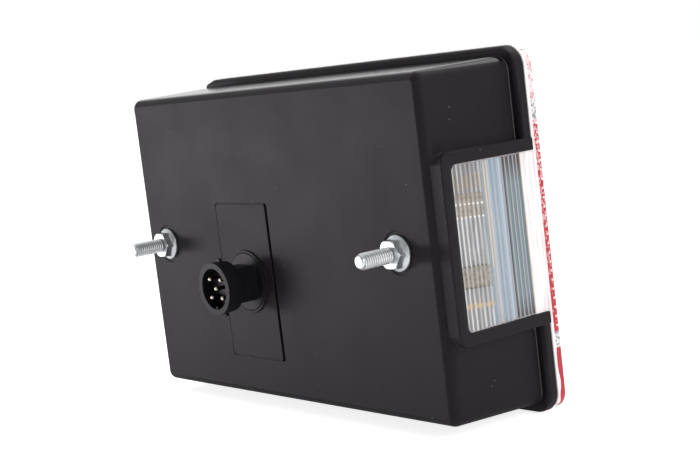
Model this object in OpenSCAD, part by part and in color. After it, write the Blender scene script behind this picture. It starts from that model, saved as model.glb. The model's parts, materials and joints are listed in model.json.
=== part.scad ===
// Rear combination lamp, lying as it is bolted to the vehicle: the back faces +Y, the lens -Y and up is +Z.
// The origin is on the back face, halfway between the studs across and at the middle of the body's height.
// The number-plate window is on the -X side.

/* [Body] */
// Width of the back face
body_w = 188.2; // [182:0.2:200]
// Height of the back face
body_h = 125; // [120:0.2:140]
// Depth from the back face to the rear of the flange
body_d = 42.7; // [41:0.1:50]
// Thickness of the moulded walls
wall = 2.5; // [2:0.1:3]
// Spread of each side wall from the back face to the flange
draft = 1.6; // [1:0.1:2.4]
// Radius of the rounded back corners and edges
corner_r = 4; // [3.5:0.1:5]
// How far the middle of the body lies from the middle of the studs
body_shift = 1.7; // [0:0.1:4]
// Overhang of the flange past the back face outline
flange_over = 4.8; // [4.4:0.1:6.5]
// Thickness of the flange
flange_t = 4.3; // [3.6:0.1:5.5]
// Radius of the flange corners
flange_r = 8; // [7:0.2:12]

/* [Studs and nuts] */
// Distance between the two studs
stud_spacing = 152; // [146:0.5:156]
// Thread diameter of the studs
stud_d = 6; // [5:0.5:6]
// Length of stud past the back face
stud_out = 18.4; // [14:0.2:30]
// Height of the studs against the middle of the body
stud_z = -0.5; // [-2:0.1:2]
// Width across the flats of the nut
nut_af = 10; // [9:0.1:11]
// Height of the nut with its flange
nut_h = 5; // [4.6:0.1:7]
// Diameter of the nut flange
nut_flange_d = 13.3; // [12.5:0.1:15]
// Depth of the shallow seat under each nut
seat_depth = 0.4; // [0.2:0.1:0.8]
// Thickness of the stud head held inside the body
stud_head_t = 4; // [3:0.5:5]

/* [Connector] */
// Width of the insert plate
insert_w = 34.2; // [30:0.2:36]
// Height of the insert plate
insert_h = 63.2; // [50:0.2:68]
// Height of the insert plate centre against the middle of the body
insert_z = -14.7; // [-18:0.1:-12]
// Sideways place of the insert plate centre
insert_x = 18.8; // [17.6:0.1:20]
// Outer diameter of the plug collar
collar_d = 21.4; // [20:0.1:22]
// Wall of the plug collar
collar_wall = 2.5; // [2:0.1:2.6]
// Length of the plug collar
collar_len = 7.2; // [6:0.1:9]
// Height of the collar mouth above the back face
collar_out = 17.1; // [15:0.1:20]
// Width of the square neck
neck_w = 14; // [13:0.1:15]
// Diameter of the round base on the insert plate
base_d = 23.4; // [22.4:0.1:26]
// Diameter of the contact pins
pin_d = 1.6; // [1.2:0.1:2]
// Width of the slot left on the window side of the insert plate
insert_slot = 1.1; // [0.4:0.1:1.5]
// Thickness of the plate behind the insert opening
insert_back_t = 2; // [1.5:0.1:3]
// Overlap of that plate behind the edge of the opening
insert_lap = 3; // [2:0.1:3]
// Length of the contact block behind the insert plate
block_tail = 5; // [4:0.1:8]
// Sideways and upward offset of the four outer pins
pin_off = 3.7; // [3:0.05:3.8]

/* [Window] */
// Height of the number-plate window
window_h = 58.6; // [50:0.2:64]
// Distance from the back face to the window edge
window_back = 6.4; // [6.2:0.1:9]
// Width of the raised frame round the window
bezel_w = 4.4; // [3.5:0.1:4.6]
// How far the frame stands out past the flange
bezel_proud = 0.7; // [0.3:0.1:1.5]
// Thickness of the window tongue
tongue_t = 2.5; // [2:0.1:3]
// Spacing of the window ribs
rib_pitch = 2.15; // [2:0.05:2.6]
// Depth of the grooves between the window ribs
rib_depth = 0.5; // [0.3:0.05:0.7]

/* [Lens] */
// Depth of the lens from its seat to the front
lens_d = 4.5; // [4:0.1:6]
// Thickness of the clear outer wall of the lens
rim_t = 2; // [1.6:0.1:2.4]
// Rounding of the lens's front edge
rim_round = 1.2; // [0.8:0.1:1.4]
// Thickness of the clear lip that lies on the seal
lip_t = 1.2; // [1:0.1:1.4]
// Width of the clear lip
lip_w = 6; // [5.6:0.1:7]
// Spacing of the flutes inside the coloured fields
flute_pitch = 3.36; // [3:0.02:4.2]
// Depth of the flutes
flute_depth = 0.7; // [0.4:0.05:0.9]
// Width of the stop and tail field
stop_w = 60; // [56:0.5:62]
// Width of the reversing field
reverse_w = 38; // [34:0.5:40]
// Width of the indicator field
indicator_w = 44; // [40:0.5:46]
// Border between the triangular reflector and the sides of its field
triangle_border = 3.4; // [2:0.2:8]
// Diameter of the lens screws
screw_d = 4; // [3.5:0.1:4.2]

/* [Inside] */
// Distance from the back face to the bulb carrier
carrier_y = 27; // [22:0.2:27.6]
// Thickness of the bulb carrier
carrier_t = 1.6; // [1.4:0.1:2]
// Thickness of the brass strips
strip_t = 0.5; // [0.4:0.1:0.8]
// Diameter of the bulb glass
bulb_d = 19; // [16:0.5:19]
// Diameter of the bulb cap
cap_d = 15; // [13:0.5:15]
// Thickness of the socket wall
socket_t = 0.8; // [0.6:0.1:1]

/* [Hidden] */
$fn = 48;
hull_fn = 32;

// Gaps between pieces that seat in one another
fit_gap = 0.2;
thread_gap = 0.05;
seat_gap = 0.1;

// How far a cutter runs past the face that it opens, and a shaft into its head
cut = 1;
head_lap = 0.5;

// Outlines as [x from, x to, z from, z to]
back_box = [-body_shift - body_w / 2, -body_shift + body_w / 2, -body_h / 2, body_h / 2];
front_box = grow(back_box, draft);
flange_box = grow(back_box, flange_over);
lens_over = 0.2;
lens_box = grow(flange_box, lens_over);
front_y = -body_d - flange_t;
front_r = corner_r + draft;

// The rounded solid reaches this far past the back face, which is then cut flat
back_over = 0.15;
rod_t = 0.1;

// Grows an outline on all four sides
function grow(box, by) = [box[0] - by, box[1] + by, box[2] - by, box[3] + by];
// Outline of the side walls' outer face at a distance from the back
function wall_box(depth) = grow(back_box, draft * depth / body_d);
// Outline round a centre
function centred_box(x, z, w, h) = [x - w / 2, x + w / 2, z - h / 2, z + h / 2];
// The four corners of an outline
function corners(box) = [for (x = [box[0], box[1]], z = [box[2], box[3]]) [x, z]];

// Seal and lens seat
seal_w = 2.2;
seal_depth = 2;
seal_gap = 0.3;
seal_inset = 2.4;
seal_stop = 1.5;
lens_y = front_y - seal_gap;
lens_front = lens_y - lens_d;
field_box = grow(lens_box, -rim_t - fit_gap);
field_y = lens_y - lip_t - seat_gap;
field_r = flange_r - rim_t;

// Window tongue and the raised frame round it
tongue_in = 0.3;
tongue_x = flange_box[0] + tongue_in;
tongue_r = 2.5;
tongue_lap = 0.5;
bezel_x = flange_box[0] - bezel_proud;
bezel_back = window_back - bezel_w - fit_gap;
bezel_r = 4;
bezel_in = 12;
ledge_w = 2;
ledge_r = 1.5;
smooth_w = 2.7;
rib_front = body_d - smooth_w;
rib_curve = 0.56;
rib_r = rib_pitch * rib_curve;

// Stud and nut: nut and stud meet at half the depth of the thread
thread_bite = 0.3;
thread_chamfer = 0.6;
stud_r = stud_d / 2;
shank_r = stud_r - thread_bite;
thread_start = nut_h + thread_chamfer;
stud_places = [-stud_spacing / 2, stud_spacing / 2];
seat_rim = 1.2;
seat_r = nut_flange_d / 2 + seat_rim;
boss_wall = 1.1;
boss_floor = 2.5;
boss_r = nut_af / sqrt(2) + boss_wall;
head_y = -wall - boss_floor;
boss_h = boss_floor + stud_head_t;
nut_rim_t = 1.1;
nut_cone_h = 1;
nut_corner_r = nut_af / 2 / cos(30);

// Connector: base, neck, collar and lugs
base_rise = 0.8;
base_proud = 0.2;
base_sunk = 0.6;
base_rim = 1.2;
base_face = base_rise + base_proud;
neck_r = 1.5;
insert_r = 1;
collar_back = collar_out - collar_len;
socket_floor_back = 1;
socket_r = collar_d / 2 - collar_wall;
socket_floor = collar_back + socket_floor_back;
block_face = 1.5;
neck_wall = 1.2;
block_front = socket_floor + block_face;
block_back = wall + block_tail;
collar_taper = 0.5;
lug_w = 2.4;
lug_len = 1.4;
lug_rise = 1;
lug_down = 4.8;
pin_down = 0.4;
tail_len = 4;
tail_t = 0.6;
insert_box = centred_box(insert_x, insert_z, insert_w, insert_h);
pin_places = [[0, 0], [-pin_off, pin_off], [pin_off, pin_off], [-pin_off, -pin_off], [pin_off, -pin_off]];

// Screw towers in the corners of the body
tower_r = 4.6;
tower_in = 8.6;
towers = corners(grow(back_box, -tower_in));
pilot_less = 0.4;
pilot_r = screw_d / 2 - pilot_less;
pilot_spare = 2;
screw_len = 14;
screw_head_r = screw_d;
screw_head_t = 1.5;
cross_share = 1.2;
cross_w = cross_share * screw_d;
cross_t = 1;

// Carrier and its posts
carrier_r = 3;
carrier_gap = 0.6;
carrier_clear = 3.5;
carrier_box = grow(wall_box(carrier_y), -wall - carrier_gap);
carrier_front = -front_y - carrier_clear;
carrier_len = carrier_front - carrier_y;
tower_play = 0.6;
light_back = 9;
light_from = carrier_y + light_back;
light_len = 6.5;
light_in = 4;
light_skin = 0.7;
post_r = 4;
post_screw_r = 1.05;
post_play = 0.45;
post_screw_len = 7.5;
post_spare = 1.5;
post_head_r = 2.8;
post_head_t = 1.4;
post_in = 9;
post_in_window = 26;
post_in_far = 34;
posts = corners([carrier_box[0] + post_in_window, carrier_box[1] - post_in_far,
                 carrier_box[2] + post_in, carrier_box[3] - post_in]);

// Fields across the lens, as [x from, x to]
seam = 0.15;
stop_x = [field_box[0], field_box[0] + stop_w];
reverse_x = [stop_x[1] + seam, stop_x[1] + reverse_w];
indicator_x = [reverse_x[1] + seam, reverse_x[1] + indicator_w];
end_x = [indicator_x[1] + seam, field_box[1]];
flute_curve = 0.62;
flute_r = flute_pitch * flute_curve;
flute_end = 3;
flute_margin = 4;
triangle_side = end_x[1] - end_x[0] - 2 * triangle_border;
reflector_t = 1.2;
pocket_play = 2 * sqrt(3) * fit_gap;

// Bulbs stand upright behind the middle of their fields
bulb_y = (carrier_y + carrier_t + body_d + flange_t + seal_gap + lip_t) / 2;
socket_z = -14;
socket_len = 14;
socket_floor_t = 1;
foot_w = 8;
cap_step = 1;
glass_neck_in = 1.2;
glass_neck_r = cap_d / 2 - glass_neck_in;
glass_rise = 0.8;
glass_centre_h = bulb_d * glass_rise;
function middle(range) = (range[0] + range[1]) / 2;

// Heights of the brass strips, as [z from, z to]
top_strip_z = [21.2, 24.6];
upper_strip_z = [8.6, 16.4];
lower_strip_z = [-17, -10.8];
bottom_strip_z = [-27.6, -25.2];
strip_in = 4;
long_past = 6;
upper_past = 12;
lower_past = 8;
strip_r = 0.8;
earth_in = 1.5;
earth_w = 1.6;

// Plain rectangle
module plain(box) {
    translate([box[0], box[2]]) square([box[1] - box[0], box[3] - box[2]]);
}

// Rounded rectangle with true arcs
module rounded(box, r) {
    plain([box[0] + r, box[1] - r, box[2], box[3]]);
    plain([box[0], box[1], box[2] + r, box[3] - r]);
    for (c = corners(grow(box, -r))) translate(c) circle(r);
}

// Extrudes an outline in X and Z from a back plane towards the lens
module from_back(y, depth) {
    translate([0, y, 0]) rotate([90, 0, 0]) linear_extrude(height = depth) children();
}

// Extrudes an outline in Y and Z along +X
module along_x(x, length) {
    translate([x, 0, 0]) rotate([90, 0, 90]) linear_extrude(height = length) children();
}

// A cylinder along Y that starts at the given back plane
module rod(x, z, y, depth, r) {
    translate([x, y, z]) rotate([90, 0, 0]) cylinder(r = r, h = depth);
}

// A cone along +Y, from radius to radius
module cone(x, z, y, r_from, r_to, length) {
    translate([x, y, z]) rotate([-90, 0, 0]) cylinder(r1 = r_from, r2 = r_to, h = length);
}

// Slab between two planes across Y, wider and higher than the lamp
module slab(y_back, y_front) {
    wide = grow(flange_box, body_d);
    from_back(y_back, y_back - y_front) plain(wide);
}

// Four thin rods in the corners of an outline, their back ends in one plane
module corner_rods(box, r, y) {
    for (c = corners(grow(box, -r))) rod(c[0], c[1], y, rod_t, r, $fn = hull_fn);
}

// Drafted solid of the body, with rounded back corners and edges
module body_shape() {
    r = corner_r;
    hull() {
        for (c = corners(grow(back_box, -r))) translate([c[0], back_over - r, c[1]]) sphere(r, $fn = hull_fn);
        corner_rods(front_box, front_r, -body_d);
    }
}

// Drafted hollow of the body, open towards the lens
module body_hollow() {
    hull() {
        corner_rods(grow(wall_box(wall), -wall), front_r - wall, -wall);
        corner_rods(grow(wall_box(-front_y + cut), -wall), front_r - wall, front_y - cut);
    }
}

// Raised frame outline round the window, seen from the side
module bezel_outline() {
    half = window_h / 2 + bezel_w + fit_gap;
    rounded([front_y - 2 * bezel_r, -bezel_back, -half, half], bezel_r);
}

// Outline of the window tongue, seen from the side, with its rear corners rounded
module tongue_outline(extra) {
    half = window_h / 2 + extra;
    rounded([lens_y - 2 * tongue_r, -window_back + extra, -half, half], tongue_r);
}

module housing() {
    color([0.12, 0.12, 0.13]) difference() {
        union() {
            intersection() {
                body_shape();
                slab(0, -body_d - rod_t);
            }
            from_back(-body_d, flange_t) rounded(flange_box, flange_r);
            intersection() {
                along_x(bezel_x, bezel_in) bezel_outline();
                slab(0, front_y);
            }
        }
        difference() {
            body_hollow();
            for (t = towers) rod(t[0], t[1], 0, -front_y + cut, tower_r);
            for (p = posts) rod(p[0], p[1], 0, carrier_y, post_r);
            for (x = stud_places) rod(x, stud_z, 0, wall + boss_h, boss_r);
        }
        seal_groove();
        window_cut();
        for (t = towers) pilot(t, front_y, screw_len + pilot_spare, pilot_r);
        for (p = posts) pilot(p, -carrier_y, post_screw_len + post_spare, post_screw_r + thread_gap);
        for (x = stud_places) stud_cut(x);
        insert_cut();
    }
}

// Blind hole for a screw, drilled towards the back from a front plane
module pilot(place, y_front, depth, r) {
    rod(place[0], place[1], y_front + depth, depth + cut, r);
}

// Ring between two outlines that lie inside the flange's edge, stopped at the window tongue
module seal_ring(y_back, y_front, slack) {
    outer = seal_inset + slack;
    inner = seal_inset + seal_w - slack;
    half = window_h / 2 + seal_stop + slack;
    depth = y_back - y_front;
    difference() {
        from_back(y_back, depth) rounded(grow(flange_box, -outer), flange_r - outer);
        from_back(y_back + cut, depth + 2 * cut) rounded(grow(flange_box, -inner), flange_r - inner);
        along_x(flange_box[0], inner + cut) plain([y_front - cut, y_back + cut, -half, half]);
    }
}

// Groove for the seal in the front of the flange
module seal_groove() {
    seal_ring(front_y + seal_depth, front_y - cut, 0);
}

// Opening in the side wall with the step that the tongue lies on
module window_cut() {
    half = window_h / 2 - ledge_w;
    along_x(bezel_x - cut, tongue_x + tongue_t + fit_gap - bezel_x + cut) tongue_outline(fit_gap);
    along_x(bezel_x - cut, bezel_in + 2 * cut)
        rounded([front_y - 2 * bezel_r, -window_back - ledge_w, -half, half], ledge_r);
}

// Shallow nut seat, stud hole and the pocket for the stud head
module stud_cut(x) {
    rod(x, stud_z, cut, cut + seat_depth, seat_r);
    rod(x, stud_z, cut, cut + wall + boss_h, stud_r + fit_gap);
    from_back(head_y, stud_head_t + cut) translate([x, stud_z])
        square(nut_af + 2 * thread_gap, center = true);
}

// Rectangular opening for the insert plate, with the slot on the window side
module insert_cut() {
    hole = grow(insert_box, fit_gap) - [insert_slot, 0, 0, 0];
    from_back(cut, wall + 2 * cut) rounded(hole, insert_r + fit_gap);
}

// A cylinder on the connector's axis
module plug_rod(y, depth, r) {
    rod(insert_x, insert_z, y, depth, r);
}

module connector_plate() {
    color([0.13, 0.13, 0.14]) difference() {
        union() {
            from_back(0, wall + seat_gap) rounded(insert_box, insert_r);
            from_back(-wall - seat_gap, insert_back_t) rounded(grow(insert_box, insert_lap), insert_lap);
            plug_rod(base_rise, base_rise + base_sunk + cut, base_d / 2 + base_rim);
        }
        plug_rod(base_rise + cut, base_rise + cut + base_sunk, base_d / 2 + fit_gap);
        from_back(cut, wall + insert_back_t + 2 * cut) neck_outline(fit_gap);
    }
}

// Outline of the square neck
module neck_outline(extra) {
    side = neck_w + 2 * extra;
    rounded(centred_box(insert_x, insert_z, side, side), neck_r + extra);
}

module connector_body() {
    color([0.1, 0.1, 0.11]) difference() {
        union() {
            plug_rod(base_face, base_face + base_sunk - seat_gap, base_d / 2);
            from_back(collar_back, collar_back + block_back) neck_outline(0);
            cone(insert_x, insert_z, collar_back, collar_d / 2 - collar_taper, collar_d / 2, collar_len);
            for (side = [-1, 1]) lug(side);
        }
        plug_rod(collar_out + cut, collar_out + cut - socket_floor, socket_r);
        from_back(collar_out, collar_out + block_back + cut) neck_outline(thread_gap - neck_wall);
    }
}

// Bayonet lug on the top or the bottom of the collar
module lug(side) {
    translate([insert_x - lug_w / 2, collar_out - lug_down, insert_z + side * collar_d / 2 - lug_rise])
        cube([lug_w, lug_len, 2 * lug_rise]);
}

// Insulating block that holds the five pins in the socket
module contact_block() {
    color([0.14, 0.14, 0.15]) difference() {
        union() {
            plug_rod(block_front, block_face, socket_r - fit_gap);
            from_back(block_front, block_front + block_back) neck_outline(-neck_wall);
        }
        for (p = pin_places) translate([p[0], 0, p[1]])
            plug_rod(collar_out, collar_out + block_back + cut, pin_d / 2 + thread_gap);
    }
}

// Contact pin with a rounded tip and a flat tail inside the body
module contact_pin(place) {
    r = pin_d / 2;
    tip = collar_out - pin_down - r;
    color([0.85, 0.7, 0.4]) translate([insert_x + place[0], 0, insert_z + place[1]]) union() {
        rod(0, 0, tip, tip + block_back, r);
        translate([0, tip, 0]) sphere(r);
        translate([-r, -block_back - tail_len, -tail_t / 2]) cube([pin_d, tail_len + head_lap, tail_t]);
    }
}

// Stud with a square head and a thinner shank up to the free threaded end
module stud(x) {
    color([0.78, 0.78, 0.76]) union() {
        from_back(head_y - thread_gap, stud_head_t) translate([x, stud_z]) square(nut_af, center = true);
        rod(x, stud_z, thread_start, thread_start - head_y + head_lap, shank_r);
        rod(x, stud_z, stud_out - thread_chamfer, stud_out - thread_chamfer - thread_start, stud_r);
        cone(x, stud_z, stud_out - thread_chamfer, stud_r, stud_r - thread_chamfer, thread_chamfer);
    }
}

// Hexagon nut with a flange that lies in the shallow seat
module flange_nut(x) {
    rim_r = nut_flange_d / 2;
    chamfer_r = nut_corner_r - thread_chamfer;
    color([0.8, 0.8, 0.78]) difference() {
        union() {
            rod(x, stud_z, nut_rim_t - seat_depth, nut_rim_t, rim_r);
            cone(x, stud_z, nut_rim_t - seat_depth, rim_r, nut_af / 2, nut_cone_h);
            intersection() {
                translate([x, nut_rim_t / 2 - seat_depth, stud_z]) rotate([-90, 0, 0])
                    cylinder(r = nut_corner_r, h = nut_h - nut_rim_t / 2, $fn = 6);
                cone(x, stud_z, -seat_depth, chamfer_r + nut_h, chamfer_r, nut_h);
            }
        }
        rod(x, stud_z, nut_h + cut, nut_h + seat_depth + 2 * cut, shank_r + thread_gap);
    }
}

// Clear outer wall and lip of the lens, with the ribbed window tongue
module lens_rim() {
    color([0.92, 0.95, 0.97, 0.6]) union() {
        difference() {
            lens_shape();
            from_back(lens_y - lip_t, lens_d) rounded(grow(lens_box, -rim_t), field_r);
            from_back(lens_y + cut, lens_d + 2 * cut) rounded(grow(lens_box, -lip_w), flange_r - lip_w + cut);
        }
        window_tongue();
    }
}

// Outer form of the lens, its front edge rounded in steps of a quarter circle
module lens_shape() {
    hull() {
        from_back(lens_y, rod_t) rounded(lens_box, flange_r, $fn = hull_fn);
        for (a = [0 : 30 : 90]) {
            inset = rim_round * (1 - cos(a));
            from_back(lens_front + rim_round * (1 - sin(a)) + rod_t, rod_t)
                rounded(grow(lens_box, -inset), flange_r - inset, $fn = hull_fn);
        }
    }
}

// Window plate with half-round ribs on its outer face
module window_tongue() {
    ribs = floor((rib_front - window_back) / rib_pitch);
    back = -window_back;
    front = lens_y - tongue_lap;
    intersection() {
        translate([0, 0, -window_h / 2]) linear_extrude(height = window_h) union() {
            translate([tongue_x + rib_depth, front]) square([tongue_t - rib_depth, back - front]);
            translate([tongue_x, front]) square([tongue_t, -rib_front - front]);
            for (i = [0.5 : ribs - 0.5]) translate([tongue_x + rib_r, back - rib_pitch * i])
                circle(rib_r, $fn = hull_fn);
        }
        along_x(tongue_x - cut, tongue_t + 2 * cut) tongue_outline(0);
    }
}

// Holes for the lens screws
module screw_holes() {
    for (t = towers) {
        rod(t[0], t[1], lens_y + cut, lens_d + 2 * cut, screw_d / 2 + fit_gap);
        rod(t[0], t[1], lens_front + screw_head_t, screw_head_t + cut, screw_head_r + fit_gap);
    }
}

// Plate of one coloured field, with flutes along X on its inner face where it is fluted
module field(range, fluted) {
    flutes = floor((field_box[3] - field_box[2] - 2 * flute_margin) / flute_pitch);
    start = middle([field_box[2], field_box[3]]) - (flutes - 1) * flute_pitch / 2;
    difference() {
        intersection() {
            from_back(field_y, field_y - lens_front) rounded(field_box, field_r - fit_gap);
            from_back(field_y + cut, field_y - lens_front + 2 * cut)
                plain([range[0], range[1], field_box[2], field_box[3]]);
        }
        if (fluted) along_x(range[0] + flute_end, range[1] - range[0] - 2 * flute_end)
            for (i = [0 : flutes - 1]) translate([field_y + flute_r - flute_depth, start + i * flute_pitch])
                circle(flute_r, $fn = hull_fn);
        screw_holes();
    }
}

module lens_stop() {
    color([0.72, 0.08, 0.12, 0.85]) field(stop_x, true);
}

module lens_reverse() {
    color([0.9, 0.92, 0.94, 0.7]) field(reverse_x, true);
}

module lens_indicator() {
    color([0.95, 0.5, 0.08, 0.85]) field(indicator_x, true);
}

// End field with the pocket for the triangular reflector
module lens_end() {
    color([0.7, 0.08, 0.12, 0.85]) difference() {
        field(end_x, false);
        from_back(lens_front + reflector_t, reflector_t + cut) triangle(triangle_side + pocket_play);
    }
}

// Equilateral triangle with its point up, centred on the end field
module triangle(side) {
    translate([middle(end_x), 0]) polygon([for (a = [90, 210, 330]) side / sqrt(3) * [cos(a), sin(a)]]);
}

module reflex_reflector() {
    color([0.8, 0.05, 0.08]) from_back(lens_front + reflector_t, reflector_t) triangle(triangle_side);
}

module lens_seal() {
    color([0.06, 0.06, 0.06]) seal_ring(front_y + seal_depth, lens_y, seat_gap);
}

// One bar of the cross slot in a screw head
module cross(place, width, height) {
    translate([place[0] - width / 2, lens_front - cut, place[1] - height / 2])
        cube([width, cut + screw_head_t / 2, height]);
}

module lens_screws() {
    shaft = screw_len + front_y - lens_front - screw_head_t + head_lap;
    color([0.75, 0.75, 0.76]) for (t = towers) difference() {
        union() {
            rod(t[0], t[1], lens_front + screw_head_t, screw_head_t, screw_head_r);
            rod(t[0], t[1], front_y + screw_len, shaft, pilot_r - thread_gap);
        }
        cross(t, cross_t, cross_w);
        cross(t, cross_w, cross_t);
    }
}

// Pale plate that carries the bulbs, with walls between the fields
module carrier() {
    half_t = carrier_t / 2;
    color([0.86, 0.9, 0.93]) difference() {
        union() {
            from_back(-carrier_y, carrier_t) rounded(carrier_box, carrier_r);
            difference() {
                from_back(-carrier_y, carrier_len) rounded(carrier_box, carrier_r);
                from_back(-carrier_y + cut, carrier_len + 2 * cut)
                    rounded(grow(carrier_box, -carrier_t), carrier_r - half_t);
            }
            for (x = [stop_x[1], reverse_x[1], indicator_x[1]])
                from_back(-carrier_y, carrier_len)
                    plain([x - half_t, x + half_t, carrier_box[2] + half_t, carrier_box[3] - half_t]);
        }
        for (t = towers) rod(t[0], t[1], 0, carrier_front + cut, tower_r + tower_play);
        for (c = corners(carrier_box)) corner_cut(c);
        for (p = posts) rod(p[0], p[1], 0, carrier_y + carrier_t + cut, post_screw_r + post_play);
        light_cut();
    }
}

// Recess in the carrier's end wall, whose thin skin lets light through to the window
module light_cut() {
    half = window_h / 2 - light_in;
    along_x(carrier_box[0] - cut, carrier_t - light_skin + cut)
        plain([-light_from - light_len, -light_from, -half, half]);
}

// Frees the walls of the carrier at the screw towers
module corner_cut(corner) {
    side = tower_in - wall + tower_r;
    from_back(0, carrier_front + cut) translate(corner) square(2 * side, center = true);
}

module carrier_screws() {
    color([0.7, 0.7, 0.7]) for (p = posts) union() {
        rod(p[0], p[1], -carrier_y + post_screw_len, post_screw_len + carrier_t, post_screw_r);
        rod(p[0], p[1], -carrier_y - carrier_t, post_head_t, post_head_r);
    }
}

// Brass strip along the rear of the carrier, from the window end to past the middle of a field
module strip(heights, field_x, past) {
    color([0.82, 0.62, 0.3]) from_back(-carrier_y + strip_t, strip_t)
        rounded([carrier_box[0] + strip_in, middle(field_x) + past, heights[0], heights[1]], strip_r);
}

// Upright strip on edge that joins the window ends of the strips
module strip_earth() {
    color([0.82, 0.62, 0.3]) translate([carrier_box[0] + earth_in, -carrier_y, lower_strip_z[1]])
        cube([strip_t, earth_w, top_strip_z[1] - lower_strip_z[1]]);
}

// Open tube that grips the bulb cap, on a foot on the carrier
module socket(range) {
    x = middle(range);
    outer_r = cap_d / 2 + thread_gap + socket_t;
    color([0.82, 0.62, 0.3]) translate([x, -bulb_y, socket_z - socket_len]) difference() {
        union() {
            cylinder(r = outer_r, h = socket_len);
            translate([-foot_w / 2, 0, 0]) cube([foot_w, bulb_y - carrier_y - carrier_t, socket_len]);
        }
        translate([0, 0, socket_floor_t]) cylinder(r = cap_d / 2 + thread_gap, h = socket_len);
    }
}

// Bulb cap that stands on the socket floor, with a narrower collar round the glass
module bulb_cap(range) {
    r = cap_d / 2;
    length = socket_len + cap_step;
    foot_z = socket_z - socket_len + socket_floor_t;
    color([0.8, 0.75, 0.6]) translate([middle(range), -bulb_y, foot_z]) union() {
        cylinder(r = r, h = length);
        translate([0, 0, length]) cylinder(r1 = r, r2 = r - cap_step, h = cap_step);
    }
}

module bulb_glass(range) {
    foot_z = socket_z + socket_floor_t + 2 * cap_step;
    color([0.9, 0.93, 0.95, 0.5]) translate([middle(range), -bulb_y, foot_z]) union() {
        cylinder(r = glass_neck_r, h = glass_centre_h);
        translate([0, 0, glass_centre_h]) sphere(bulb_d / 2);
    }
}

housing();
connector_plate();
connector_body();
contact_block();
contact_pin(pin_places[0]);  // pin_centre
contact_pin(pin_places[1]);  // pin_top_inner
contact_pin(pin_places[2]);  // pin_top_outer
contact_pin(pin_places[3]);  // pin_bottom_inner
contact_pin(pin_places[4]);  // pin_bottom_outer
stud(stud_places[0]);  // stud_inner
stud(stud_places[1]);  // stud_outer
flange_nut(stud_places[0]);  // nut_inner
flange_nut(stud_places[1]);  // nut_outer
lens_rim();
lens_stop();
lens_reverse();
lens_indicator();
lens_end();
reflex_reflector();
lens_seal();
lens_screws();
carrier();
carrier_screws();
strip(top_strip_z, indicator_x, long_past);  // strip_top
strip(upper_strip_z, stop_x, upper_past);  // strip_upper
strip(lower_strip_z, reverse_x, lower_past);  // strip_lower
strip(bottom_strip_z, indicator_x, long_past);  // strip_bottom
strip_earth();
socket(stop_x);  // socket_stop
socket(reverse_x);  // socket_reverse
socket(indicator_x);  // socket_indicator
bulb_cap(stop_x);  // bulb_stop_cap
bulb_glass(stop_x);  // bulb_stop_glass
bulb_cap(reverse_x);  // bulb_reverse_cap
bulb_glass(reverse_x);  // bulb_reverse_glass
bulb_cap(indicator_x);  // bulb_indicator_cap
bulb_glass(indicator_x);  // bulb_indicator_glass
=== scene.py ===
"""Rear combination lamp: its finishes, its fine pieces and a plain studio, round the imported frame.

Places are in the lamp's own frame: the back faces +Y, the lens faces -Y, up is +Z, and the
number-plate window is on the -X side. A size with MM beside it is in metres; the sub-assemblies'
other sizes and places are in millimetres, and Form turns them into metres.
"""

import json
import logging
import math
from abc import ABC, abstractmethod
from collections.abc import Callable
from dataclasses import dataclass
from enum import Enum

import bmesh
import bpy
from mathutils import Matrix, Vector


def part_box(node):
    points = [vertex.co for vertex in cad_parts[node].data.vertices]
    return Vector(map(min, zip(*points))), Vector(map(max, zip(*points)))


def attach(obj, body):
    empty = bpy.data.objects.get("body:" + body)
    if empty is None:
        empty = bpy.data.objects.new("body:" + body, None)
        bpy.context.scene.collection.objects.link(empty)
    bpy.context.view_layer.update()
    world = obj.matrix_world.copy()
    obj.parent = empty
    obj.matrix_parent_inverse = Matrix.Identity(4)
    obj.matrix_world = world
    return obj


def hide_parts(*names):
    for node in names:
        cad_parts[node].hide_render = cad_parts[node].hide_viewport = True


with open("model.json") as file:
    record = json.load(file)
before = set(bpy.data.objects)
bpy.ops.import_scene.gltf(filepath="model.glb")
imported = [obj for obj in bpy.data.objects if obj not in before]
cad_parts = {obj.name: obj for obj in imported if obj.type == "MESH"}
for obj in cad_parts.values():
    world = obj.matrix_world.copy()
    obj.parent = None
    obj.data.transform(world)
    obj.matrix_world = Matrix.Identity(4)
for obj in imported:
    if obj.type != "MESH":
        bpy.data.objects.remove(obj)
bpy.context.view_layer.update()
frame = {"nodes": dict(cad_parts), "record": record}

log = logging.getLogger("lamp")

MM = 0.001
BODY = "root"

# In millimetres
STUD_X = 76.0
STUD_Z = -0.5
TOUCH = 0.02

# A metre away, past every end of the lamp, where a zone that starts there is empty
NOWHERE = 1.0

Colour = tuple[float, float, float]
Point = tuple[float, float, float]
Stops = tuple[tuple[float, Colour], ...]
Pieces = list[bpy.types.Object]
PointTest = Callable[[Vector], bool]

WHITE = (1.0, 1.0, 1.0, 1.0)


def shaded(colour: Colour, share: float) -> Colour:
    """A colour made darker or lighter by a share."""
    return tuple(part * share for part in colour)


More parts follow.
